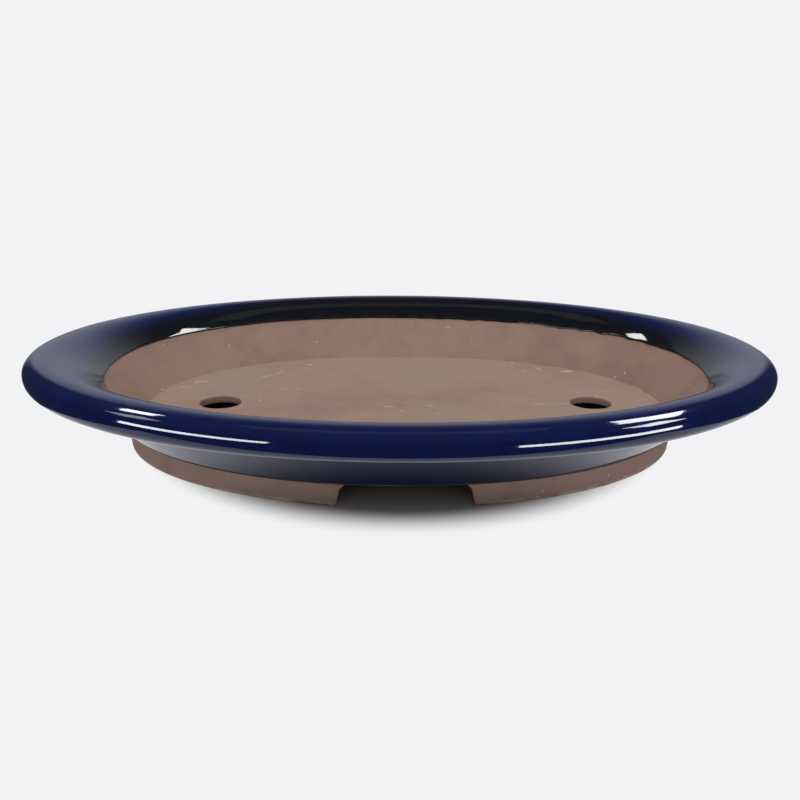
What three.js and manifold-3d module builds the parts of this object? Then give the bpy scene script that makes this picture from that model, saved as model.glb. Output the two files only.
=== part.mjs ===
// Shallow oval bonsai pot: a bare stoneware tray on two low feet, with a wide
// rolled lip and a glass glaze over the lip and the outside of the wall.
//
// Millimetres, +Z up. X runs along the pot, Y across it. The origin is the
// middle of the footprint, on the surface that the pot stands on.

import * as THREE from 'three';
import { mergeVertices } from 'three/addons/utils/BufferGeometryUtils.js';
import Module from 'manifold-3d';

const wasm = await Module();
wasm.setup();

// ---------------------------------------------------------------- dimensions

// Whole pot, over the glaze
const potLength = 450;
const potWidth = 332;
const potHeight = 58;

// Lip: its width is measured from the outer edge in to the glaze line
const lipThickness = 17;
const lipWidthAtEnds = 43.5;
const lipWidthAtSides = 31;
const noseDepth = 12;
const lipFall = 13;
const lipFallPower = 2.1;
const neckFillet = 4;

// Wall: insets are measured from the outer edge of the lip
const footInsetAtEnds = 56;
const footInsetAtSides = 46.5;
const wallAtBase = 8;
const wallAtNeck = 11;

// Floor and drain holes: the floor's underside is recessed above the wall's foot
const floorRecess = 2;
const floorThickness = 5;
const drainHoleDiameter = 25.5;
const drainHoleSpacing = 234;

// The opening, the floor and its holes sit off the middle, towards +X
const insideShift = 3.5;

// Feet
const footHeight = 12.5;
const footThickness = 9;
const footTaper = 1.2;
const footGapAtTop = 62;
const footGapAtGround = 71.5;

// Glaze
const glazeThickness = 0.8;
const bareEdgeHeight = 1.2;

// Fullness of the ovals: 2 is a true ellipse, and more fills out the quarters
const rimFullness = 2.0;
const openingFullness = 2.15;
const floorFullness = 2.2;
const footFullness = 2.02;

// Clearance between pieces that are luted or fused together
const joint = 0.3;

// Steps round the oval, down the lip's inner slope, round its nose, down the
// wall and round a drain hole
const ringSteps = 80;
const slopeSteps = 4;
const noseSteps = 8;
const wallSteps = 3;
const holeSteps = 28;

// ------------------------------------------------------------ derived places

const noseHeight = potHeight - lipThickness / 2;
const neckHeight = potHeight - lipThickness;
const lipJointHeight = neckHeight - neckFillet;
const glazeLineHeight = potHeight - lipFall;
const floorUnderside = footHeight + floorRecess;
const floorHeight = floorUnderside + floorThickness;

// ------------------------------------------------------------------- lines

// A line runs once round the pot. It holds one point for each step: the
// distance from the middle of the pot, and the height. Every line is stepped in
// the same directions, so pieces that share a line keep their gap all round.
function direction(step) {
  const turn = (step % ringSteps) * 2 * Math.PI / ringSteps;
  return Math.atan2(potWidth * Math.sin(turn), potLength * Math.cos(turn));
}

// An oval lies inside the lip's outer edge, by one distance at the ends of the
// pot and another at its sides. A shift carries its ends towards +X.
function oval(atEnds, atSides, height, fullness, shift = 0) {
  return Array.from({ length: ringSteps }, (_, step) => {
    const along = Math.cos(direction(step));
    const x = Math.abs(along) / (potLength / 2 - atEnds + Math.sign(along) * shift);
    const y = Math.abs(Math.sin(direction(step))) / (potWidth / 2 - atSides);
    return new THREE.Vector2((x ** fullness + y ** fullness) ** (-1 / fullness), height);
  });
}

function between(a, b, share) {
  return a.map((point, step) => point.clone().lerp(b[step], share));
}

function atHeight(a, b, height) {
  return a.map((point, step) => {
    const share = (height - point.y) / (b[step].y - point.y);
    return point.clone().lerp(b[step], share);
  });
}

function moved(line, outward, height) {
  return line.map((point) => new THREE.Vector2(point.x + outward, height));
}

// Moves a run of lines square to itself, from the glazed surface into the clay.
function sunk(run, depth) {
  return run.map((line, i) => {
    const before = run[Math.max(i - 1, 0)];
    const after = run[Math.min(i + 1, run.length - 1)];
    return line.map((point, step) => {
      const along = after[step].clone().sub(before[step]).normalize();
      return new THREE.Vector2(point.x + depth * along.y, point.y - depth * along.x);
    });
  });
}

function planPoint(line, step) {
  const { x: radius } = line[step % ringSteps];
  return new THREE.Vector2(radius * Math.cos(direction(step)), radius * Math.sin(direction(step)));
}

// ----------------------------------------------------------------- surfaces

// The glazed surface, from the glaze line inside the pot, over the lip and
// down the outside of the wall.
const glazeLine = oval(
  lipWidthAtEnds,
  lipWidthAtSides,
  glazeLineHeight,
  openingFullness,
  insideShift,
);
const crest = oval(noseDepth, noseDepth, potHeight, rimFullness);
const floorCorner = oval(
  footInsetAtEnds + wallAtBase,
  footInsetAtSides + wallAtBase,
  floorHeight,
  floorFullness,
  insideShift,
);
const neck = moved(atHeight(glazeLine, floorCorner, neckHeight), wallAtNeck, neckHeight);
const wallFoot = oval(footInsetAtEnds, footInsetAtSides, footHeight, footFullness);

function innerSlope() {
  return Array.from({ length: slopeSteps }, (_, i) => {
    const share = 1 - i / slopeSteps;
    const height = potHeight - lipFall * share ** lipFallPower;
    return moved(between(crest, glazeLine, share), 0, height);
  });
}

function nose() {
  return Array.from({ length: noseSteps + 1 }, (_, i) => {
    const angle = Math.PI / 2 - i * Math.PI / noseSteps;
    const inset = noseDepth * (1 - Math.cos(angle));
    return oval(inset, inset, noseHeight + lipThickness / 2 * Math.sin(angle), rimFullness);
  });
}

function neckCurve() {
  const lipEnd = moved(neck, neckFillet, neckHeight);
  const wallEnd = atHeight(neck, wallFoot, lipJointHeight);
  const middle = between(between(lipEnd, neck, 0.5), between(neck, wallEnd, 0.5), 0.5);
  return [lipEnd, middle, wallEnd];
}

function outerWall() {
  const wallFall = (lipJointHeight - footHeight - bareEdgeHeight) / wallSteps;
  return Array.from({ length: wallSteps }, (_, i) => (
    atHeight(neck, wallFoot, lipJointHeight - (i + 1) * wallFall)
  ));
}

const glazedSurface = [...innerSlope(), ...nose(), ...neckCurve(), ...outerWall()];
const underGlaze = sunk(glazedSurface, glazeThickness);
const claySurface = sunk(glazedSurface, glazeThickness + joint);

// Under the glaze, the lip's clay ends at the joint and the wall's begins.
const lipSurface = claySurface.slice(0, -wallSteps - 1);
const wallSurface = claySurface.slice(-wallSteps);
const clayNeck = claySurface.at(-wallSteps - 1);
const clayGlazeLine = claySurface[0];
const clayFoot = atHeight(wallSurface.at(-2), wallSurface.at(-1), footHeight);

// ------------------------------------------------------------------ solids

function clean(geometry) {
  geometry.deleteAttribute('normal');
  geometry.deleteAttribute('uv');
  return mergeVertices(geometry, 1e-4);
}

// A closed section carried round the pot: a turned ring, drawn out to the ovals.
// The section runs down its inner side and up its outer side.
function ring(section) {
  const closed = [...section, section[0]];
  const geometry = new THREE.LatheGeometry(closed.map((line) => line[0]), ringSteps);
  const places = geometry.attributes.position;
  for (let i = 0; i < places.count; i += 1) {
    const line = closed[i % closed.length];
    const step = Math.floor(i / closed.length);
    const plan = planPoint(line, step);
    places.setXYZ(i, plan.x, plan.y, line[step % ringSteps].y);
  }
  return clean(geometry);
}

function toSolid(geometry) {
  const { position } = geometry.attributes;
  return new wasm.Manifold(new wasm.Mesh({
    numProp: 3,
    vertProperties: new Float32Array(position.array),
    triVerts: new Uint32Array(geometry.index.array),
  }));
}

function toGeometry(solid) {
  const { vertProperties, triVerts } = solid.getMesh();
  const geometry = new THREE.BufferGeometry();
  geometry.setAttribute('position', new THREE.BufferAttribute(vertProperties, 3));
  geometry.setIndex(new THREE.BufferAttribute(triVerts, 1));
  return geometry;
}

function floorSlab() {
  const edge = moved(floorCorner, -joint, floorUnderside);
  const outline = edge.map((_, step) => planPoint(edge, step));
  const shape = new THREE.Shape(outline);
  for (const side of [-1, 1]) {
    const hole = new THREE.Path();
    const middle = insideShift + side * drainHoleSpacing / 2;
    hole.absarc(middle, 0, drainHoleDiameter / 2, 0, 2 * Math.PI, true);
    shape.holes.push(hole);
  }
  const geometry = new THREE.ExtrudeGeometry(shape, {
    depth: floorThickness,
    bevelEnabled: false,
    curveSegments: holeSteps,
  });
  return clean(geometry.translate(0, 0, floorUnderside));
}

function sideWall() {
  const top = lipJointHeight - joint;
  return ring([
    atHeight(clayGlazeLine, floorCorner, top),
    floorCorner,
    moved(floorCorner, 0, footHeight),
    clayFoot,
    ...wallSurface.toReversed(),
    atHeight(clayNeck, wallSurface[0], top),
  ]);
}

function lip() {
  const underside = atHeight(clayGlazeLine, floorCorner, lipJointHeight);
  const outside = atHeight(clayNeck, wallSurface[0], lipJointHeight);
  return ring([underside, outside, ...lipSurface.toReversed()]);
}

function glazeCoat() {
  return ring([...underGlaze, ...glazedSurface.toReversed()]);
}

// The foot ring, flush with the wall above it, before the gaps are cut.
function footRing() {
  const top = footHeight - joint;
  return ring([
    moved(clayFoot, -footThickness, top),
    moved(clayFoot, -footTaper - footThickness, 0),
    moved(clayFoot, -footTaper, 0),
    moved(clayFoot, 0, top),
  ]);
}

// The gap between the feet, front and back, is wider at the ground.
function gapCutter() {
  const slant = (footGapAtGround - footGapAtTop) / 2 / footHeight;
  const low = footGapAtGround / 2 + slant * joint;
  const high = footGapAtTop / 2 - slant * joint;
  const shape = new THREE.Shape([
    new THREE.Vector2(-low, -joint),
    new THREE.Vector2(low, -joint),
    new THREE.Vector2(high, footHeight + joint),
    new THREE.Vector2(-high, footHeight + joint),
  ]);
  const geometry = new THREE.ExtrudeGeometry(shape, { depth: potWidth, bevelEnabled: false });
  geometry.translate(0, 0, -potWidth / 2);
  geometry.rotateX(Math.PI / 2);
  return clean(geometry);
}

function foot(side) {
  const half = new THREE.BoxGeometry(potLength, potWidth, 2 * potHeight);
  half.translate(side * potLength / 2, 0, 0);
  const cutRing = toSolid(footRing()).subtract(toSolid(gapCutter()));
  return toGeometry(cutRing.intersect(toSolid(clean(half))));
}

// --------------------------------------------------------------- materials

function clay() {
  return new THREE.MeshStandardMaterial({ color: 0x8b7265, roughness: 0.9, metalness: 0 });
}

function cobaltGlaze() {
  return new THREE.MeshStandardMaterial({ color: 0x0f1846, roughness: 0.08, metalness: 0 });
}

// ---------------------------------------------------------------- assembly

function piece(name, geometry, material) {
  geometry.computeVertexNormals();
  const mesh = new THREE.Mesh(geometry, material);
  mesh.name = name;
  return mesh;
}

const pot = new THREE.Group();
pot.add(
  piece('floor_slab', floorSlab(), clay()),
  piece('side_wall', sideWall(), clay()),
  piece('lip', lip(), clay()),
  piece('foot_left', foot(-1), clay()),
  piece('foot_right', foot(1), clay()),
  piece('glaze_coat', glazeCoat(), cobaltGlaze()),
);

export default pot;
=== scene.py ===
"""Shallow oval bonsai pot: bare stoneware with a wide rolled lip, glazed cobalt blue.

Metres, +Z up. X runs along the pot, Y across it, and the origin is the middle
of the footprint, on the surface that the pot stands on.
"""

import math

import bpy
from bpy.props import FloatProperty, FloatVectorProperty, PointerProperty
from mathutils import Matrix, Vector, noise
from mathutils.geometry import delaunay_2d_cdt


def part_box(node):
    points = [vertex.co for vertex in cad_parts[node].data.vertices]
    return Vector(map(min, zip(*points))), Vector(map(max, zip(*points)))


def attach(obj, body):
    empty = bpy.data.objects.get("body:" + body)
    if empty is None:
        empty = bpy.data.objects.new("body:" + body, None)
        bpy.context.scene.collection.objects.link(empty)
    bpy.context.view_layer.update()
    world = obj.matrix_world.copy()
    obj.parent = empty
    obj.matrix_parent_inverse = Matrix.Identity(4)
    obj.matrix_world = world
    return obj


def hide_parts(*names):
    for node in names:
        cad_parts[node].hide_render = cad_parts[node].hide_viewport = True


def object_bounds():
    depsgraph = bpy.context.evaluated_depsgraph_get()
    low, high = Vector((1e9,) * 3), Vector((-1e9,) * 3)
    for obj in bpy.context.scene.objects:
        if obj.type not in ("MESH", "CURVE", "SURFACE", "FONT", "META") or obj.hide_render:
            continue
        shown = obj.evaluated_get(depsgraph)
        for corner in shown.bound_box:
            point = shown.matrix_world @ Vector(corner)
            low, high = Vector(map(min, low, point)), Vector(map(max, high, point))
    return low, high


bl_info = {
    "name": "Oval Bonsai Pot",
    "version": (1, 0, 0),
    "blender": (4, 5, 0),
    "location": "3D View > Sidebar > Pot",
    "description": "Throws, glazes and stages a shallow oval bonsai pot",
    "category": "Add Mesh",
}

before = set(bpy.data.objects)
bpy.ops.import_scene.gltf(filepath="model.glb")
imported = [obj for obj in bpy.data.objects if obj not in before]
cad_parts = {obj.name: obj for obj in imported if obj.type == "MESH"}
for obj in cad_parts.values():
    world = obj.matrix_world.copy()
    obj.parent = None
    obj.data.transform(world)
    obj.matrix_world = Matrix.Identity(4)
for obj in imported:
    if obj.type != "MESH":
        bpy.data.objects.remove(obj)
CAD_LOW, CAD_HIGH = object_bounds()
FLOOR_LOW, FLOOR_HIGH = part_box("floor_slab")

# Columns of points round the pot, and along half of it for a foot
RING_COLUMNS = 360
FOOT_COLUMNS = 150

# Columns round a drain hole, and the pitch of the points over the floor
HOLE_COLUMNS = 72
FLOOR_PITCH = 0.004

# Hairline left between clay and glaze, and between the floor and the wall
HAIRLINE = 0.00005

# How strongly the lip's inner slope steepens towards the glaze line
LIP_FALL_POWER = 2.1

# Depth of the hand-made unevenness of the floor and of the inner face
FLOOR_SWELL = 0.00018
WALL_SWELL = 0.00022

# Length of the rounded bead that ends the glaze
GLAZE_BEAD = 0.0007


def length_property(name, description, default):
    """A size in metres that a user can change."""
    return FloatProperty(name=name, description=description, default=default, min=0.0, unit="LENGTH")


def fullness_property(name, description, default):
    """How far an oval fills out its quarters: 2 is a true ellipse."""
    return FloatProperty(name=name, description=description, default=default, min=1.5, max=4.0)


def colour_property(name, description, default):
    """A linear colour that a user can change."""
    return FloatVectorProperty(
        name=name, description=description, default=default, min=0.0, max=1.0, size=3, subtype="COLOR"
    )


class PotSizes(bpy.types.PropertyGroup):
    """Sizes of the fired pot, over its glaze."""

    length: length_property("Length", "Overall length, along X", round(CAD_HIGH.x - CAD_LOW.x, 4))
    width: length_property("Width", "Overall width, along Y", round(CAD_HIGH.y - CAD_LOW.y, 4))
    height: length_property("Height", "Overall height", round(CAD_HIGH.z, 4))
    lip_thickness: length_property("Lip thickness", "Height of the lip's nose", 0.017)
    lip_width_ends: length_property("Lip width at ends", "Outer edge to glaze line, along X", 0.0435)
    lip_width_sides: length_property("Lip width at sides", "Outer edge to glaze line, along Y", 0.031)
    nose_depth: length_property("Nose depth", "Outer edge of the lip to its crest", 0.012)
    lip_fall: length_property("Lip fall", "Drop from the crest to the glaze line", 0.013)
    neck_fillet: length_property("Neck fillet", "Curve between the lip and the wall", 0.004)
    foot_inset_ends: length_property("Foot inset at ends", "Lip's edge to the wall's foot, X", 0.056)
    foot_inset_sides: length_property("Foot inset at sides", "Lip's edge to the wall's foot, Y", 0.0465)
    wall_at_base: length_property("Wall at base", "Thickness of the wall at the floor", 0.008)
    wall_at_neck: length_property("Wall at neck", "Thickness of the wall under the lip", 0.011)
    floor_top: length_property("Floor top", "Height of the inner floor", round(FLOOR_HIGH.z, 4))
    floor_under: length_property("Floor underside", "Height of its underside", round(FLOOR_LOW.z, 4))
    hole_diameter: length_property("Drain hole", "Diameter of a drain hole", 0.0255)
    hole_spacing: length_property("Hole spacing", "Distance between the drain holes", 0.234)
    hole_softness: length_property("Hole softness", "Rounding of a drain hole's edge", 0.0012)
    foot_height: length_property("Foot height", "Height of the feet", 0.0125)
    foot_thickness: length_property("Foot thickness", "Width of a foot's sole", 0.009)
    foot_taper: length_property("Foot taper", "How far a foot draws in at the ground", 0.0012)
    foot_softness: length_property("Foot softness", "Rounding of a foot's edges", 0.0014)
    gap_at_top: length_property("Gap at top", "Gap between the feet, at the wall", 0.062)
    gap_at_ground: length_property("Gap at ground", "Gap between the feet, at the ground", 0.0715)
    gap_fillet: length_property("Gap fillet", "Curve from a foot's end into the wall", 0.003)
    glaze_thickness: length_property("Glaze thickness", "Thickness of the fired glaze", 0.0008)
    bare_edge: length_property("Bare edge", "Bare clay left under the glaze", 0.0012)
    inside_shift: length_property("Inside shift", "How far opening and floor sit towards +X", 0.0035)
    rim_fullness: fullness_property("Rim fullness", "Outline of the lip", 2.0)
    opening_fullness: fullness_property("Opening fullness", "Outline of the glaze line", 2.15)
    floor_fullness: fullness_property("Floor fullness", "Outline of the floor", 2.2)
    foot_fullness: fullness_property("Foot fullness", "Outline of the feet", 2.02)
    nose_fullness: fullness_property("Nose fullness", "Section of the nose under its front", 2.5)


class PotFinish(bpy.types.PropertyGroup):
    """Colours and gloss of the clay and the glaze."""

    clay: colour_property("Clay", "Fired bare clay", (0.292, 0.192, 0.154))
    clay_dark: colour_property("Dark clay", "Clay in its hollows and damp marks", (0.238, 0.156, 0.125))
    dust: colour_property("Dust", "Dry dust on the floor", (0.258, 0.190, 0.149))
    grit: colour_property("Grit", "Pale grains and chips", (0.620, 0.560, 0.480))
    cobalt: colour_property("Cobalt", "Thick glaze", (0.0028, 0.0070, 0.0470))
    # The dark glaze colour stands for thin glaze on the inner slope and also for painted shade on the back half
    # and under the lip.
    tenmoku_and_painted_shade: colour_property("Tenmoku", "Thin glaze over the inner slope", (0.0042, 0.0050, 0.0080))
    glaze_edge: colour_property("Glaze edge", "Glaze where it breaks at its edge", (0.024, 0.022, 0.015))
    glaze_roughness: FloatProperty(
        name="Glaze roughness",
        description="Blur of the glaze's reflections",
        default=0.05,
        min=0.0,
        max=1.0,
    )


class PotStudio(bpy.types.PropertyGroup):
    """Camera, backdrop and lamps."""

    elevation: FloatProperty(
        name="Elevation", description="Camera above the horizon", default=math.radians(17.4), subtype="ANGLE"
    )
    azimuth: FloatProperty(
        name="Azimuth", description="Camera round from the front", default=math.radians(-1.43), subtype="ANGLE"
    )
    roll: FloatProperty(
        name="Roll", description="Camera about its own axis", default=math.radians(0.536), subtype="ANGLE"
    )
    distance: length_property("Distance", "Camera to the middle of the pot", 0.5501)
    aim_height: length_property("Aim height", "Height that the camera looks at", 0.0225)
    lens: FloatProperty(name="Lens", description="Focal length on a 36 mm sensor", default=39.22, unit="CAMERA")
    shift_x: FloatProperty(name="Shift X", description="Sideways shift of the lens", default=-0.0014)
    shift_y: FloatProperty(name="Shift Y", description="Upward shift of the lens", default=-0.0032)
    backdrop: colour_property("Backdrop", "Paper behind and under the pot", (0.888, 0.888, 0.905))


# ------------------------------------------------------------------ section


class Run:
    """A run of section points, (radius, height), that can be walked by distance."""

    def __init__(self, points):
        self.points = points
        self.marks = [0.0]
        for before, after in zip(points, points[1:]):
            self.marks.append(self.marks[-1] + (after - before).length)
        self.length = self.marks[-1]
        self.last = 0

    def at(self, distance):
        """The point at a distance along the run, and the outward direction there."""
        distance = min(max(distance, 0.0), self.length)
        if distance < self.marks[self.last]:
            self.last = 0
        while self.last < len(self.marks) - 2 and self.marks[self.last + 1] < distance:
            self.last += 1
        before, after = self.points[self.last], self.points[self.last + 1]
        span = self.marks[self.last + 1] - self.marks[self.last]
        along = (after - before).normalized()
        point = before.lerp(after, (distance - self.marks[self.last]) / span)
        return point, Vector((-along.y, along.x))


def moved(point, outward, height):
    """A point carried outward, and set at a height."""
    return Vector((point.x + outward, height))


def at_height(upper, lower, height):
    """The point at a height on the line through two points."""
    return upper.lerp(lower, (height - upper.y) / (lower.y - upper.y))


def curve(start, corner, end, steps):
    """A smooth curve that leaves start and reaches end along the sides of a corner."""
    points = []
    for i in range(steps + 1):
        share = i / steps
        points.append(start.lerp(corner, share).lerp(corner.lerp(end, share), share))
    return points


def offset(points, outward):
    """Section points moved square to their run."""
    shifted = []
    for i, point in enumerate(points):
        along = (points[min(i + 1, len(points) - 1)] - points[max(i - 1, 0)]).normalized()
        shifted.append(point + outward * Vector((-along.y, along.x)))
    return shifted


def soften(points, corner, reach, steps):
    """A run whose corner point is replaced by a curve that starts and ends a reach away."""
    before = points[corner] + (points[corner - 1] - points[corner]).normalized() * reach
    after = points[corner] + (points[corner + 1] - points[corner]).normalized() * reach
    return points[:corner] + curve(before, points[corner], after, steps) + points[corner + 1 :]


class Section:
    """The pot's section in one direction from its middle."""

    def __init__(self, sizes, heading):
        self.sizes = sizes
        self.heading = heading
        glaze_line_height = sizes.height - sizes.lip_fall
        neck_height = sizes.height - sizes.lip_thickness
        self.glaze_line = self.oval(
            sizes.lip_width_ends,
            sizes.lip_width_sides,
            glaze_line_height,
            sizes.opening_fullness,
            sizes.inside_shift,
        )
        self.crest = self.oval(sizes.nose_depth, sizes.nose_depth, sizes.height, sizes.rim_fullness)
        self.floor_corner = self.oval(
            sizes.foot_inset_ends + sizes.wall_at_base,
            sizes.foot_inset_sides + sizes.wall_at_base,
            sizes.floor_top,
            sizes.floor_fullness,
            sizes.inside_shift,
        )
        self.wall_foot = self.oval(
            sizes.foot_inset_ends, sizes.foot_inset_sides, sizes.foot_height, sizes.foot_fullness
        )
        inner_face = at_height(self.glaze_line, self.floor_corner, neck_height)
        self.neck = moved(inner_face, sizes.wall_at_neck, neck_height)
        self.joint_height = neck_height - sizes.neck_fillet

    def oval(self, at_ends, at_sides, height, fullness, shift=0.0):
        """A point on an oval that lies inside the lip's outer edge, its ends shifted towards +X."""
        along = math.cos(self.heading)
        x = abs(along) / (self.sizes.length / 2 - at_ends + math.copysign(shift, along))
        y = abs(math.sin(self.heading)) / (self.sizes.width / 2 - at_sides)
        return Vector(((x**fullness + y**fullness) ** (-1 / fullness), height))

    def inner_slope(self, steps=40):
        """Glazed surface from the glaze line up to the crest."""
        points = []
        for i in range(steps):
            share = 1 - i / steps
            height = self.sizes.height - self.sizes.lip_fall * share**LIP_FALL_POWER
            points.append(moved(self.crest.lerp(self.glaze_line, share), 0, height))
        return points

    def nose(self, steps=80):
        """Glazed surface from the crest, round the front of the lip, to its underside."""
        sizes = self.sizes
        points = []
        for i in range(steps + 1):
            angle = math.pi / 2 - i * math.pi / steps
            power = 1.0 if angle > 0 else 2 / sizes.nose_fullness
            out = abs(math.cos(angle)) ** power
            up = math.copysign(abs(math.sin(angle)) ** power, angle)
            inset = sizes.nose_depth * (1 - out)
            height = sizes.height - sizes.lip_thickness / 2 * (1 - up)
            points.append(self.oval(inset, inset, height, sizes.rim_fullness))
        return points

    def glazed(self):
        """Glazed surface from the glaze line, over the lip, to the wall's foot."""
        lip_end = moved(self.neck, self.sizes.neck_fillet, self.neck.y)
        wall_end = at_height(self.neck, self.wall_foot, self.joint_height)
        return self.inner_slope() + self.nose() + curve(lip_end, self.neck, wall_end, 20) + [self.wall_foot]

    def clay(self):
        """Clay surface from the floor, up the inner face and over the lip, to the wall's foot."""
        skin = offset(self.glazed(), -self.sizes.glaze_thickness - HAIRLINE)
        return Run(soften([self.floor_corner, *skin], 1, 0.0007, 8))


# ------------------------------------------------------------------- meshes


def place(point, heading):
    """A section point in space."""
    return Vector((point.x * math.cos(heading), point.x * math.sin(heading), point.y))


def heading_of(sizes, turn):
    """The direction of a column, spread so that columns are about as far apart all round."""
    return math.atan2(sizes.width * math.sin(turn), sizes.length * math.cos(turn))


def headings(sizes):
    """The direction of every column round the pot."""
    return [heading_of(sizes, 2 * math.pi * i / RING_COLUMNS) for i in range(RING_COLUMNS)]


def ring_faces(columns, rows, closed_round, first=0):
    """Quads between columns of points, each column a closed section."""
    faces = []
    for c in range(columns if closed_round else columns - 1):
        here, there = first + c * rows, first + (c + 1) % columns * rows
        for r in range(rows):
            up = (r + 1) % rows
            faces.append((here + r, there + r, there + up, here + up))
    return faces


def build(name, node, points, faces, material, attributes=None):
    """A smooth mesh piece that stands for a CAD node and rides with the pot."""
    mesh = bpy.data.meshes.new(name)
    mesh.from_pydata(points, [], faces)
    mesh.validate()
    for title, values in (attributes or {}).items():
        layer = mesh.attributes.new(title, "FLOAT", "POINT")
        layer.data.foreach_set("value", values)
    mesh.shade_smooth()
    mesh.materials.append(material)
    piece = bpy.data.objects.new(name, mesh)
    bpy.context.collection.objects.link(piece)
    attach(piece, "root")
    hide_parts(node)
    return piece


def crease(piece, angle):
    """Keep the corners that are sharper than an angle sharp."""
    piece.data.set_sharp_from_angle(angle=angle)


def ripple(heading, waves, seed):
    """A hand-made unevenness round the pot, from -1 to 1."""
    return noise.noise(Vector((math.cos(heading) * waves, math.sin(heading) * waves, seed)))


def ease(share):
    """A smooth rise from 0 to 1 while a share goes from 0 to 1."""
    share = min(1.0, max(0.0, share))
    return share * share * (3 - 2 * share)


def handmade(point, amount):
    """A clay point pushed in or out a little, as pressing and sponging leave it."""
    swell = noise.noise(point * 22.0) + 0.45 * noise.noise(point * 70.0)
    return swell * amount


# ---------------------------------------------------------------- materials


class Wire:
    """A socket of a node tree, on which plain arithmetic adds Math nodes."""

    def __init__(self, tree, socket=None):
        self.tree = tree
        self.socket = socket

    def node(self, kind, settings=None, inputs=None, output=0):
        """Add any node: its settings first, then the values or links of its sockets."""
        made = self.tree.nodes.new(kind)
        for name, value in (settings or {}).items():
            if name == "stops":
                ramp = made.color_ramp
                while len(ramp.elements) < len(value):
                    ramp.elements.new(1.0)
                for element, (position, colour) in zip(ramp.elements, value):
                    element.position = position
                    element.color = (*colour, 1.0)
            else:
                setattr(made, name, value)
        for name, value in (inputs or {}).items():
            if isinstance(value, Wire):
                self.tree.links.new(value.socket, made.inputs[name])
            else:
                made.inputs[name].default_value = value
        return Wire(self.tree, made.outputs[output] if made.outputs else None)

    def maths(self, operation, *values):
        """A Math node on numbers or wires."""
        return self.node("ShaderNodeMath", {"operation": operation}, dict(enumerate(values)))

    def __add__(self, other):
        return self.maths("ADD", self, other)

    def __sub__(self, other):
        return self.maths("SUBTRACT", self, other)

    def __mul__(self, other):
        return self.maths("MULTIPLY", self, other)

    def __rsub__(self, other):
        return self.maths("SUBTRACT", other, self)

    __radd__ = __add__
    __rmul__ = __mul__

    def __abs__(self):
        return self.maths("ABSOLUTE", self)

    def rise(self, low, high):
        """0 below low, 1 above high, and smooth between them."""
        return self.node(
            "ShaderNodeMapRange",
            {"interpolation_type": "SMOOTHSTEP"},
            {"Value": self, "From Min": low, "From Max": high},
        )

    def blend(self, first, second):
        """Two colours, mixed by this wire."""
        sockets = {0: self}
        for socket, colour in ((6, first), (7, second)):
            sockets[socket] = colour if isinstance(colour, Wire) else (*colour, 1.0)
        return self.node("ShaderNodeMix", {"data_type": "RGBA"}, sockets, output=2)

    def grey(self):
        """A colour of this brightness."""
        return self.node("ShaderNodeCombineColor", None, {0: self, 1: self, 2: self})

    def stretched(self, scale):
        """Coordinates scaled along each axis."""
        return self.node("ShaderNodeVectorMath", {"operation": "MULTIPLY"}, {0: self, 1: scale})

    def mottle(self, scale, detail=4.0, roughness=0.55, distortion=0.0):
        """Soft noise at these coordinates, from 0 to 1."""
        return self.node(
            "ShaderNodeTexNoise",
            {"noise_dimensions": "3D"},
            {
                "Vector": self,
                "Scale": scale,
                "Detail": detail,
                "Roughness": roughness,
                "Distortion": distortion,
            },
        )

    def cells(self, scale, feature="F1", output=0):
        """Voronoi cells at these coordinates."""
        return self.node(
            "ShaderNodeTexVoronoi", {"feature": feature}, {"Vector": self, "Scale": scale}, output
        )


def new_material(name):
    """An empty node material, its wires and its surface shader's sockets."""
    material = bpy.data.materials.new(name)
    material.use_nodes = True
    material.node_tree.nodes.clear()
    return material, Wire(material.node_tree)


def finish_material(wires, shader_inputs):
    """Close a material with one Principled surface."""
    surface = wires.node("ShaderNodeBsdfPrincipled", None, shader_inputs)
    wires.node("ShaderNodeOutputMaterial", None, {"Surface": surface})


def bump(wires, height, distance, strength=1.0):
    """A normal that follows a height."""
    return wires.node(
        "ShaderNodeBump", None, {"Height": height, "Distance": distance, "Strength": strength}
    )


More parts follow.
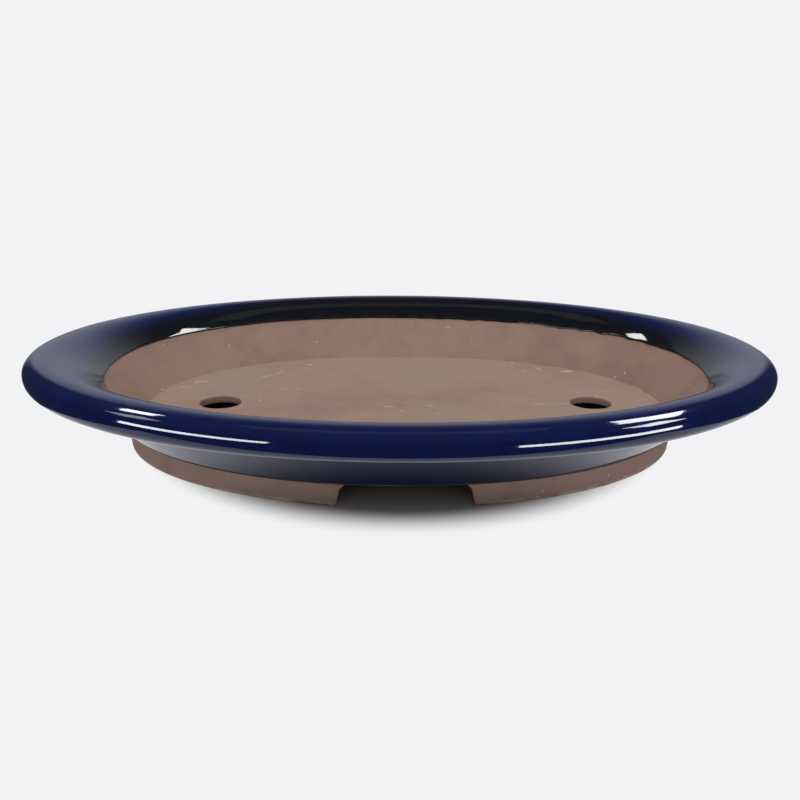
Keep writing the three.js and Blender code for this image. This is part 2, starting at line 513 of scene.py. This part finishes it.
def bare_clay(finish):
    """Fired stoneware: warm grey-brown, matt, with dust on its flat parts and wear on its edges."""
    if "fired_stoneware" in bpy.data.materials:
        return bpy.data.materials["fired_stoneware"]
    material, wires = new_material("fired_stoneware")
    at = wires.node("ShaderNodeTexCoord", output="Object")
    facing = wires.node("ShaderNodeNewGeometry", output="Normal")
    upward = wires.node("ShaderNodeSeparateXYZ", None, {0: facing}, output="Z").rise(0.75, 0.98)
    depth = wires.node("ShaderNodeSeparateXYZ", None, {0: at}, output="Z")

    body = at.mottle(13.0, 3.0)
    blotch = at.mottle(70.0, 5.0, 0.6)
    grain = at.mottle(800.0, 3.0, 0.7)
    shade = (body * 0.9 + blotch * 0.5 + grain * 0.30).rise(0.66, 1.0)
    colour = shade.blend(finish.clay_dark, finish.clay)

    wiped = at.stretched((0.30, 1.0, 1.0)).mottle(60.0, 8.0, 0.66, 0.5)
    dust = (wiped * 0.9 + at.mottle(7.0, 2.0) * 0.9).rise(0.70, 1.05) * upward
    colour = (dust * 0.85).blend(colour, finish.dust)

    scuff = at.stretched((0.35, 1.0, 1.0)).mottle(22.0, 0.0)
    hairs = 1.0 - abs(scuff - 0.5).rise(0.0, 0.006)
    broken = at.mottle(95.0, 1.0).rise(0.56, 0.62)
    colour = (hairs * broken * upward * 0.40).blend(colour, finish.grit)

    specks = 1.0 - at.cells(180.0).rise(0.06, 0.18)
    chosen = at.cells(180.0, output="Color")
    rare = wires.node("ShaderNodeSeparateColor", None, {0: chosen}, output=0).rise(0.90, 0.99)
    colour = (specks * rare * 0.8).blend(colour, finish.grit)

    worn = 1.0 - depth.rise(0.0010, 0.0030)
    patches = at.mottle(60.0, 5.0, 0.6).rise(0.42, 0.60)
    colour = (worn * patches * 0.40).blend(colour, finish.grit)

    relief = grain * 0.5 + at.mottle(320.0, 4.0, 0.6) * 0.6 + hairs * broken * 0.15
    finish_material(
        wires,
        {
            "Base Color": colour,
            "Roughness": 0.80 + grain * 0.15,
            "Specular IOR Level": 0.12,
            "Normal": bump(wires, relief, 0.00012),
        },
    )
    return material


def cobalt_glaze(finish):
    """Glass glaze: cobalt where it is thick, nearly black on the inner slope, brown at its edge, and darker
    with painted shade on the back half, the lower nose and the wall under the lip.
    """
    material, wires = new_material("glass_glaze")
    at = wires.node("ShaderNodeTexCoord", output="Object")
    # The thick attribute holds glaze thickness and painted shade together.
    thick = wires.node("ShaderNodeAttribute", {"attribute_name": "thick"}, output="Fac")
    edge = wires.node("ShaderNodeAttribute", {"attribute_name": "edge"}, output="Fac")

    cloud = at.mottle(34.0, 4.0, 0.6)
    # Low values fall towards the dark tenmoku colour: thin glaze on the inner slope, and painted shade on the
    # back half and under the lip.
    glaze_depth_and_painted_shade = (thick + (cloud - 0.5) * 0.25).rise(0.0, 1.0)
    colour = glaze_depth_and_painted_shade.blend(finish.tenmoku_and_painted_shade, finish.cobalt)
    lighter = tuple(min(1.0, c * 2.2) for c in finish.cobalt)
    streaks = at.stretched((1.0, 1.0, 2.2)).mottle(60.0, 5.0, 0.65).rise(0.46, 0.72)
    colour = (streaks * thick * 0.35).blend(colour, lighter)
    breaking = edge * at.mottle(160.0, 4.0).rise(0.25, 0.7)
    colour = breaking.blend(colour, finish.glaze_edge)

    skin = at.mottle(75.0, 2.0, 0.4)
    finish_material(
        wires,
        {
            "Base Color": colour,
            "Roughness": finish.glaze_roughness,
            "IOR": 1.5,
            "Normal": bump(wires, skin, 0.00012, 0.6),
        },
    )
    return material


# ---------------------------------------------------------------- operators


class POT_OT_floor(bpy.types.Operator):
    """Roll the floor slab and pierce its two drain holes"""

    bl_idname = "pot.floor"
    bl_label = "Floor slab"

    def execute(self, context):
        sizes = context.scene.pot_sizes
        outline = []
        for heading in headings(sizes):
            section = Section(sizes, heading)
            outline.append(place(section.floor_corner - Vector((HAIRLINE, 0)), heading))
        points, faces = self.slab(sizes, outline)
        piece = build(
            "clay_floor", "floor_slab", points, faces, bare_clay(context.scene.pot_finish)
        )
        crease(piece, math.radians(50))
        return {"FINISHED"}

    def rings(self, sizes):
        """Radius and drop of a hole's loops, from its edge on the floor to its straight side."""
        soft = sizes.hole_softness
        rings = []
        for i in range(6):
            angle = i * math.pi / 10
            radius = sizes.hole_diameter / 2 + soft * (1 - math.sin(angle))
            rings.append((radius, soft * (1 - math.cos(angle))))
        return rings

    def on_loop(self, middle, radius, column):
        """A point on a circle round a hole's middle."""
        turn = 2 * math.pi * column / HOLE_COLUMNS
        return middle + radius * Vector((math.cos(turn), math.sin(turn)))

    def margins(self, sizes, middles, radius, spot):
        """How far a spot lies inside the floor's outline, and outside the nearest hole."""
        corner = Section(sizes, math.atan2(spot.y, spot.x)).floor_corner
        nearest = min((spot - middle).length for middle in middles)
        return corner.x - spot.length, nearest - radius

    def grid(self, sizes, middles, radius):
        """Points spread over the floor, clear of its outline and its holes."""
        half = int(sizes.length / FLOOR_PITCH)
        spots = []
        for i in range(-half // 2, half // 2 + 1):
            for j in range(-half // 2, half // 2 + 1):
                spot = Vector((i * FLOOR_PITCH + (j % 2) * FLOOR_PITCH / 2, j * FLOOR_PITCH * 0.87))
                inside, outside = self.margins(sizes, middles, radius, spot)
                if inside > FLOOR_PITCH * 0.7 and outside > FLOOR_PITCH * 0.6:
                    spots.append(spot)
        return spots

    def slab(self, sizes, outline):
        """Top and underside as fine triangles, joined by the rim and the holes' sides."""
        rings = self.rings(sizes)
        mouth = rings[0][0]
        middles = [
            Vector((sizes.inside_shift + side * sizes.hole_spacing / 2, 0)) for side in (-1, 1)
        ]
        loops = [[point.xy for point in outline]]
        for middle in middles:
            loops.append([self.on_loop(middle, mouth, i) for i in range(HOLE_COLUMNS)])
        flat, edges, starts = [], [], []
        for loop in loops:
            starts.append(len(flat))
            edges += [(len(flat) + i, len(flat) + (i + 1) % len(loop)) for i in range(len(loop))]
            flat += loop
        flat += self.grid(sizes, middles, mouth)
        verts, _, triangles, originals, _, _ = delaunay_2d_cdt(flat, edges, [], 0, 1e-7)
        kept = []
        for triangle in triangles:
            centre = sum((verts[v] for v in triangle), Vector((0, 0))) / 3
            inside, outside = self.margins(sizes, middles, mouth, centre)
            if inside > 0 and outside > -1e-5:
                kept.append(tuple(triangle))
        number = {old: new for new, olds in enumerate(originals) for old in olds}
        points = []
        for vert in verts:
            swell = handmade(Vector((vert.x, vert.y, 0.0)), FLOOR_SWELL)
            points.append(Vector((vert.x, vert.y, sizes.floor_top + swell)))
        count = len(points)
        points += [Vector((vert.x, vert.y, sizes.floor_under)) for vert in verts]
        faces = kept + [tuple(reversed([v + count for v in face])) for face in kept]
        rim = [number[i] for i in range(len(loops[0]))]
        for a, b in zip(rim, rim[1:] + rim[:1]):
            faces.append((a, a + count, b + count, b))
        for middle, start in zip(middles, starts[1:]):
            top = [number[start + i] for i in range(HOLE_COLUMNS)]
            faces += self.bore(sizes, middle, rings, points, top, [v + count for v in top])
        return points, faces

    def bore(self, sizes, middle, rings, points, top, under):
        """Add the points of a hole's side, and return its faces."""
        loops = [top]
        for radius, drop in rings[1:]:
            loops.append(range(len(points), len(points) + HOLE_COLUMNS))
            for i in range(HOLE_COLUMNS):
                spot = self.on_loop(middle, radius, i)
                points.append(Vector((spot.x, spot.y, points[top[i]].z - drop)))
        for radius, drop in reversed(rings[1:]):
            loops.append(range(len(points), len(points) + HOLE_COLUMNS))
            for i in range(HOLE_COLUMNS):
                spot = self.on_loop(middle, radius, i)
                points.append(Vector((spot.x, spot.y, sizes.floor_under + drop)))
        loops.append(under)
        return [face for pair in zip(loops, loops[1:]) for face in self.band(*pair)]

    def band(self, upper, lower):
        """Quads between two loops round a hole."""
        count = len(upper)
        return [
            (upper[i], upper[(i + 1) % count], lower[(i + 1) % count], lower[i]) for i in range(count)
        ]


class POT_OT_wall(bpy.types.Operator):
    """Raise the side wall from the floor to the lip"""

    bl_idname = "pot.wall"
    bl_label = "Side wall"

    def execute(self, context):
        sizes = context.scene.pot_sizes
        columns = [self.column(sizes, heading) for heading in headings(sizes)]
        rows = len(columns[0])
        points = [point for column in columns for point in column]
        faces = ring_faces(len(columns), rows, True)
        piece = build(
            "clay_wall", "side_wall", points, faces, bare_clay(context.scene.pot_finish)
        )
        crease(piece, math.radians(40))
        return {"FINISHED"}

    def column(self, sizes, heading):
        """One section: up the inner face, over the joint and down to the foot."""
        section = Section(sizes, heading)
        clay = section.clay()
        top_in = at_height(clay.points[1], clay.points[0], section.joint_height)
        foot = clay.points[-1]
        top_out = at_height(clay.points[-2], foot, section.joint_height)
        corner = section.floor_corner
        under = moved(corner, 0, sizes.foot_height)
        inner = [corner.lerp(top_in, i / 24) for i in range(25)]
        outer = [top_out.lerp(foot, i / 16) for i in range(17)]
        below = curve(
            moved(foot, -0.002, sizes.foot_height), under, moved(corner, 0, sizes.foot_height + 0.001), 5
        )
        column = []
        for i, point in enumerate(inner):
            spot = place(point, heading)
            fade = min(1.0, 4.0 * i / 24)
            column.append(place(point + Vector((handmade(spot, WALL_SWELL) * fade, 0)), heading))
        column += [place(point, heading) for point in outer + below]
        column.reverse()
        return column


class POT_OT_lip(bpy.types.Operator):
    """Roll the lip outward over the wall"""

    bl_idname = "pot.lip"
    bl_label = "Lip"

    def execute(self, context):
        sizes = context.scene.pot_sizes
        columns = [self.column(sizes, heading) for heading in headings(sizes)]
        rows = len(columns[0])
        points = [point for column in columns for point in column]
        faces = ring_faces(len(columns), rows, True)
        piece = build("clay_lip", "lip", points, faces, bare_clay(context.scene.pot_finish))
        crease(piece, math.radians(40))
        return {"FINISHED"}

    def column(self, sizes, heading):
        """One section: up the inner face from the joint, over the lip and back under it."""
        section = Section(sizes, heading)
        clay = section.clay()
        top_in = at_height(clay.points[1], clay.points[0], section.joint_height)
        top_out = at_height(clay.points[-2], clay.points[-1], section.joint_height)
        start = (top_in - clay.points[0]).length
        end = clay.length - (clay.points[-1] - top_out).length
        column = []
        for i in range(73):
            point, _ = clay.at(start + (end - start) * i / 72)
            spot = place(point, heading)
            fade = 1.0 if i < 12 else 0.0
            column.append(place(point + Vector((handmade(spot, WALL_SWELL) * fade, 0)), heading))
        column.reverse()
        return column


class POT_OT_feet(bpy.types.Operator):
    """Cut and fettle the left and right feet"""

    bl_idname = "pot.feet"
    bl_label = "Feet"

    def execute(self, context):
        sizes = context.scene.pot_sizes
        for name, side in (("left", -1), ("right", 1)):
            points, faces = self.foot(sizes, side)
            piece = build(
                "clay_foot_" + name,
                "foot_" + name,
                points,
                faces,
                bare_clay(context.scene.pot_finish),
            )
            crease(piece, math.radians(50))
        return {"FINISHED"}

    def outline(self, sizes):
        """The foot's section as (inset from its outer face, height), softened at the ground."""
        soft, high, thick = sizes.foot_softness, sizes.foot_height, sizes.foot_thickness
        run = [(0.0, high), (0.0, high * 0.8), (0.0, high * 0.55), (0.0, high * 0.3)]
        for i in range(7):
            angle = i * math.pi / 12
            run.append((soft * (1 - math.cos(angle)), soft * (1 - math.sin(angle))))
        run += [(thick * 0.35, 0.0), (thick * 0.65, 0.0)]
        for i in range(5):
            angle = i * math.pi / 8
            run.append((thick - soft * (1 - math.sin(angle)), soft * (1 - math.cos(angle))))
        run += [(thick, high * 0.45), (thick, high)]
        return run

    def gap(self, sizes, height):
        """Half the gap between the feet at a height, curving out into the wall."""
        slant = (sizes.gap_at_ground - sizes.gap_at_top - sizes.gap_fillet * 1.4) / 2
        share = height / sizes.foot_height
        fillet = max(0.0, height - sizes.foot_height + sizes.gap_fillet) / sizes.gap_fillet
        curl = 1 - math.sqrt(max(0.0, 1 - fillet**2))
        return sizes.gap_at_ground / 2 - slant * share - sizes.gap_fillet * 0.7 * curl

    def foot(self, sizes, side):
        """A C of columns from the front gap to the back gap, closed by rounded ends."""
        soft = sizes.foot_softness
        run = self.outline(sizes)
        ends = [soft * (1 - math.cos(i * math.pi / 10)) for i in range(6)]
        points = []
        columns = 0
        for c in range(-len(ends) + 1, FOOT_COLUMNS + len(ends)):
            share = min(max(c / FOOT_COLUMNS, 0.0), 1.0)
            beyond = -c if c < 0 else max(0, c - FOOT_COLUMNS)
            back = soft - soft * math.sin((len(ends) - 1 - beyond) * math.pi / 10)
            reach = ends[len(ends) - 1 - beyond]
            for inset, height in run:
                middle = (inset - sizes.foot_thickness / 2) / (sizes.foot_thickness / 2)
                pulled = inset - middle * back * (1.0 if height < sizes.foot_height else 0.3)
                low = height + back * 0.7 * (1.0 if height < sizes.foot_height * 0.25 else 0.0)
                gap = self.gap(sizes, low) + reach
                points.append(self.spot(sizes, side, share, gap, pulled, low))
            columns += 1
        rows = len(run)
        faces = ring_faces(columns, rows, False)
        faces.append(tuple(range(rows)))
        faces.append(tuple(reversed(range((columns - 1) * rows, columns * rows))))
        if side < 0:
            faces = [tuple(reversed(face)) for face in faces]
        return points, faces

    def spot(self, sizes, side, share, gap, inset, height):
        """A point of the foot, a share of the way from the front gap to the back gap."""
        start = -math.pi / 2 + gap / (sizes.width / 2 - sizes.foot_inset_sides)
        for _ in range(6):
            radius = self.radius(sizes, start, inset, height)
            start = -math.acos(min(1.0, gap / radius))
        heading = start + (-2 * start) * share
        point = Vector((self.radius(sizes, heading, inset, height), height))
        spot = place(point, heading)
        spot.x *= side
        return spot

    def radius(self, sizes, heading, inset, height):
        """Distance out to a point of the foot's section."""
        clay_foot = Section(sizes, heading).wall_foot.x - self.skin(sizes)
        taper = sizes.foot_taper * (1 - height / sizes.foot_height)
        return clay_foot - taper - inset

    def skin(self, sizes):
        """How far the clay lies inside the glazed wall, measured level."""
        return sizes.glaze_thickness * 1.2


class POT_OT_glaze(bpy.types.Operator):
    """Glaze the lip and the outside of the wall"""

    bl_idname = "pot.glaze"
    bl_label = "Glaze"

    def execute(self, context):
        sizes = context.scene.pot_sizes
        points, thick, edge = [], [], []
        for heading in headings(sizes):
            column = self.column(sizes, heading)
            points += [place(point, heading) for point, _, _ in column]
            thick += [value for _, value, _ in column]
            edge += [value for _, _, value in column]
        rows = len(points) // RING_COLUMNS
        faces = [tuple(reversed(face)) for face in ring_faces(RING_COLUMNS, rows, True)]
        build(
            "glaze",
            "glaze_coat",
            points,
            faces,
            cobalt_glaze(context.scene.pot_finish),
            # The thick attribute holds glaze thickness with painted shade in it.
            {"thick": thick, "edge": edge},
        )
        return {"FINISHED"}

    def overrun(self, heading):
        """How far the glaze runs past the glaze line, down the inner face."""
        uneven = math.exp(-(((heading - 0.75) / 0.55) ** 2))
        steady = 0.0004 * ripple(heading, 2.5, 3.0) + 0.0002 * ripple(heading, 11.0, 7.0)
        return 0.0003 + steady + uneven * (0.0016 * ripple(heading, 16.0, 1.0) + 0.0009)

    def column(self, sizes, heading):
        """One section of the coat, with its thickness, which carries painted shade too, and how near each point
        is to an edge.
        """
        section = Section(sizes, heading)
        clay = section.clay()
        kink = (section.floor_corner - offset(section.glazed(), -sizes.glaze_thickness)[0]).length
        start = kink - self.overrun(heading)
        hem = sizes.bare_edge + 0.0003 * ripple(heading, 6.0, 5.0)
        end = clay.length - hem
        near = [0.0, 0.03, 0.12, 0.27, 0.46, 0.70, 1.0]
        outer, inner = [], []
        steps = 96
        for i in range(len(near) * 2 + steps - 1):
            if i < len(near):
                distance = start + GLAZE_BEAD * near[i]
            elif i < len(near) + steps - 1:
                share = (i - len(near) + 1) / steps
                distance = start + GLAZE_BEAD + (end - start - 2 * GLAZE_BEAD) * share
            else:
                distance = end - GLAZE_BEAD * near[len(near) * 2 + steps - 2 - i]
            from_edge = min(distance - start, end - distance)
            round_off = math.sqrt(max(0.0, 1 - (1 - min(1.0, from_edge / GLAZE_BEAD)) ** 2))
            point, outward = clay.at(distance)
            cover = (distance - start) / (end - start)
            thick = self.thickness(cover, heading)
            edge = math.exp(-(distance - start) / 0.0016) + 0.6 * math.exp(-(end - distance) / 0.0008)
            outer.append((point + outward * (HAIRLINE + sizes.glaze_thickness * round_off), thick, edge))
            if i % 6 == 0 or from_edge < 1e-9:
                inner.append((point + outward * HAIRLINE, thick, edge))
        return outer + inner[-2:0:-1]

    def thickness(self, cover, heading):
        """How thick the glaze lies, from the inner glaze line (0) to the wall's foot (1); it also carries
        painted shade, lower on the back half and over the lower nose and the wall under the lip.
        """
        # Painted shade on the back half: the dark thin band runs further from the glaze line there.
        painted_shade_at_back = max(0.0, math.sin(heading)) ** 2
        start = 0.04 + 0.10 * painted_shade_at_back
        rising = ease((cover - start) / (0.13 + 0.08 * painted_shade_at_back))
        # The dip past the middle of the run is painted shade over the lower nose and the wall under the lip.
        return rising - 0.42 * ease((cover - 0.52) / 0.16)


class POT_OT_stage(bpy.types.Operator):
    """Set out the paper, the soft light, the lamps and the camera"""

    bl_idname = "pot.stage"
    bl_label = "Stage"

    def execute(self, context):
        studio = context.scene.pot_studio
        context.scene.view_settings.view_transform = "Standard"
        self.paper(studio)
        self.sky(context.scene, studio)
        self.lamps()
        self.camera(context.scene, studio)
        return {"FINISHED"}

    def paper(self, studio):
        """A pale table that the glaze reflects, and the same paper out to the horizon; near the pot the paper
        is darker diffuse paper in an oval, a painted shadow that also takes the dome's real shadows.
        """
        material, wires = new_material("paper")
        at = wires.node("ShaderNodeTexCoord", output="Object")
        from_middle = wires.node(
            "ShaderNodeVectorMath", {"operation": "SUBTRACT"}, {0: at, 1: (0.0, 0.05, 0.0)}
        )
        # Distance out through the oval of painted shadow round the pot, its middle set towards the back.
        reach = wires.node(
            "ShaderNodeVectorMath",
            {"operation": "LENGTH"},
            {0: from_middle.stretched((1 / 0.160, 1 / 0.182, 0.0))},
            output="Value",
        )
        # Painted shadow: darker diffuse paper inside the oval, darker than the dome alone would leave it.
        # Outside the oval the paper glows evenly at the backdrop's brightness.
        painted_shadow_paper = wires.node("ShaderNodeBsdfDiffuse", None, {"Color": (0.36, 0.35, 0.345, 1.0)})
        lit = wires.node("ShaderNodeEmission", None, {"Color": (*studio.backdrop, 1.0)})
        paper = wires.node("ShaderNodeMixShader", None, {0: reach.rise(0.93, 1.10), 1: painted_shadow_paper, 2: lit})
        wires.node("ShaderNodeOutputMaterial", None, {"Surface": paper})
        self.sheet("table", (-0.245, -0.186), (0.245, 0.45), 0.0, material)
        surround = self.sheet("surround", (-6.0, -6.0), (6.0, 6.0), -0.0002, material)
        surround.visible_glossy = False
        surround.visible_shadow = False

    def sheet(self, name, low, high, height, material):
        """A flat rectangle of the stage."""
        mesh = bpy.data.meshes.new(name)
        corners = [(low[0], low[1]), (high[0], low[1]), (high[0], high[1]), (low[0], high[1])]
        mesh.from_pydata([(x, y, height) for x, y in corners], [], [(0, 1, 2, 3)])
        mesh.materials.append(material)
        sheet = bpy.data.objects.new(name, mesh)
        bpy.context.collection.objects.link(sheet)
        return sheet

    def sky(self, scene, studio):
        """Pale paper for the eye, a soft dome for matt surfaces and a dim room for gloss."""
        world = bpy.data.worlds.new("studio")
        scene.world = world
        world.use_nodes = True
        world.node_tree.nodes.clear()
        wires = Wire(world.node_tree)
        way = wires.node("ShaderNodeTexCoord", output="Generated")
        across, behind, above = (
            wires.node("ShaderNodeSeparateXYZ", None, {0: way}, output=axis) for axis in "XYZ"
        )
        to_eye = wires.node("ShaderNodeLightPath", output="Is Camera Ray")
        to_gloss = wires.node("ShaderNodeLightPath", output="Is Glossy Ray")
        front = (above * 0.55 - behind * 0.83).rise(0.35, 0.95)
        dome = above.rise(0.50, 0.92) * 1.75 + above.rise(0.0, 0.3) * 0.16 + front * 0.42
        side = abs(across)
        screen = behind.rise(0.02, 0.12) * (1.0 - (side - behind * 0.62).rise(-0.06, 0.10))
        screen = screen * (1.0 - above.rise(0.34, 0.80)) * (0.25 + above.rise(-0.05, 0.25) * 0.24)
        room = screen + above.rise(0.3, 0.9) * 0.03 + 0.04
        colour = to_gloss.blend(dome.grey(), room.grey().stretched((0.93, 0.97, 1.12)))
        colour = to_eye.blend(colour, studio.backdrop)
        light = wires.node("ShaderNodeBackground", None, {"Color": colour, "Strength": 1.0})
        wires.node("ShaderNodeOutputWorld", None, {"Surface": light})

    def lamps(self):
        """Soft boxes that only the glaze shows."""
        self.lamp("strip_left", -130, 9.0, 1.1, (0.80, 0.22), 18.0)
        self.lamp("strip_right", 133, -0.5, 1.1, (0.86, 0.24), 18.0)
        self.lamp("high_left", 69, 50.0, 3.0, (0.90, 0.64), 16.0)
        self.lamp("high_right", -59, 48.5, 3.0, (0.56, 0.34), 16.0)
        self.lamp("side_left", -90, 42, 3.0, (0.50, 0.60), 4.0)
        self.lamp("side_right", 104, 36.5, 3.0, (0.66, 0.62), 16.0)
        self.lamp("overhead", 0, 83.3, 1.1, (0.90, 0.26), 0.2)

    def lamp(self, name, round_from_back, height, distance, size, brightness):
        """One soft box, aimed at the pot, by its direction in degrees, distance and size."""
        turn, rise = math.radians(round_from_back), math.radians(height)
        level = math.cos(rise)
        away = Vector((math.sin(turn) * level, math.cos(turn) * level, math.sin(rise)))
        data = bpy.data.lights.new(name, "AREA")
        data.shape = "RECTANGLE"
        data.size, data.size_y = size
        data.energy = brightness * math.pi * size[0] * size[1]
        lamp = bpy.data.objects.new(name, data)
        lamp.location = away * distance
        lamp.rotation_mode = "QUATERNION"
        lamp.rotation_quaternion = away.to_track_quat("Z", "Y")
        lamp.visible_diffuse = False
        lamp.visible_camera = False
        bpy.context.collection.objects.link(lamp)

    def camera(self, scene, studio):
        """The camera, a little above the rim and to the left of the middle."""
        data = bpy.data.cameras.new("camera")
        data.lens = studio.lens
        data.sensor_width = 36.0
        data.shift_x = studio.shift_x
        data.shift_y = studio.shift_y
        data.clip_start = 0.01
        level = math.cos(studio.elevation)
        back = Vector(
            (
                math.sin(studio.azimuth) * level,
                -math.cos(studio.azimuth) * level,
                math.sin(studio.elevation),
            )
        )
        camera = bpy.data.objects.new("camera", data)
        turn = (-back).to_track_quat("-Z", "Y").to_matrix().to_4x4()
        aim = Vector((0, 0, studio.aim_height))
        roll = Matrix.Rotation(studio.roll, 4, "Z")
        camera.matrix_world = Matrix.Translation(aim + back * studio.distance) @ turn @ roll
        bpy.context.collection.objects.link(camera)
        scene.camera = camera


class POT_PT_panel(bpy.types.Panel):
    """Sidebar panel with a button for every piece, in the order they are made"""

    bl_idname = "POT_PT_panel"
    bl_label = "Oval Bonsai Pot"
    bl_space_type = "VIEW_3D"
    bl_region_type = "UI"
    bl_category = "Pot"

    def draw(self, context):
        for step in STEPS:
            self.layout.operator(step.bl_idname)
        for group in (context.scene.pot_sizes, context.scene.pot_finish, context.scene.pot_studio):
            for name in group.bl_rna.properties.keys():
                if name not in {"rna_type", "name"}:
                    self.layout.prop(group, name)


STEPS = (POT_OT_stage, POT_OT_floor, POT_OT_wall, POT_OT_lip, POT_OT_feet, POT_OT_glaze)
GROUPS = (PotSizes, PotFinish, PotStudio)


def register():
    for kind in (*GROUPS, *STEPS, POT_PT_panel):
        bpy.utils.register_class(kind)
    bpy.types.Scene.pot_sizes = PointerProperty(type=PotSizes)
    bpy.types.Scene.pot_finish = PointerProperty(type=PotFinish)
    bpy.types.Scene.pot_studio = PointerProperty(type=PotStudio)


def unregister():
    del bpy.types.Scene.pot_studio
    del bpy.types.Scene.pot_finish
    del bpy.types.Scene.pot_sizes
    for kind in reversed((*GROUPS, *STEPS, POT_PT_panel)):
        bpy.utils.unregister_class(kind)


def main():
    """Make every piece."""
    register()
    for step in STEPS:
        category, name = step.bl_idname.split(".")
        getattr(getattr(bpy.ops, category), name)()


if __name__ == "__main__":
    main()
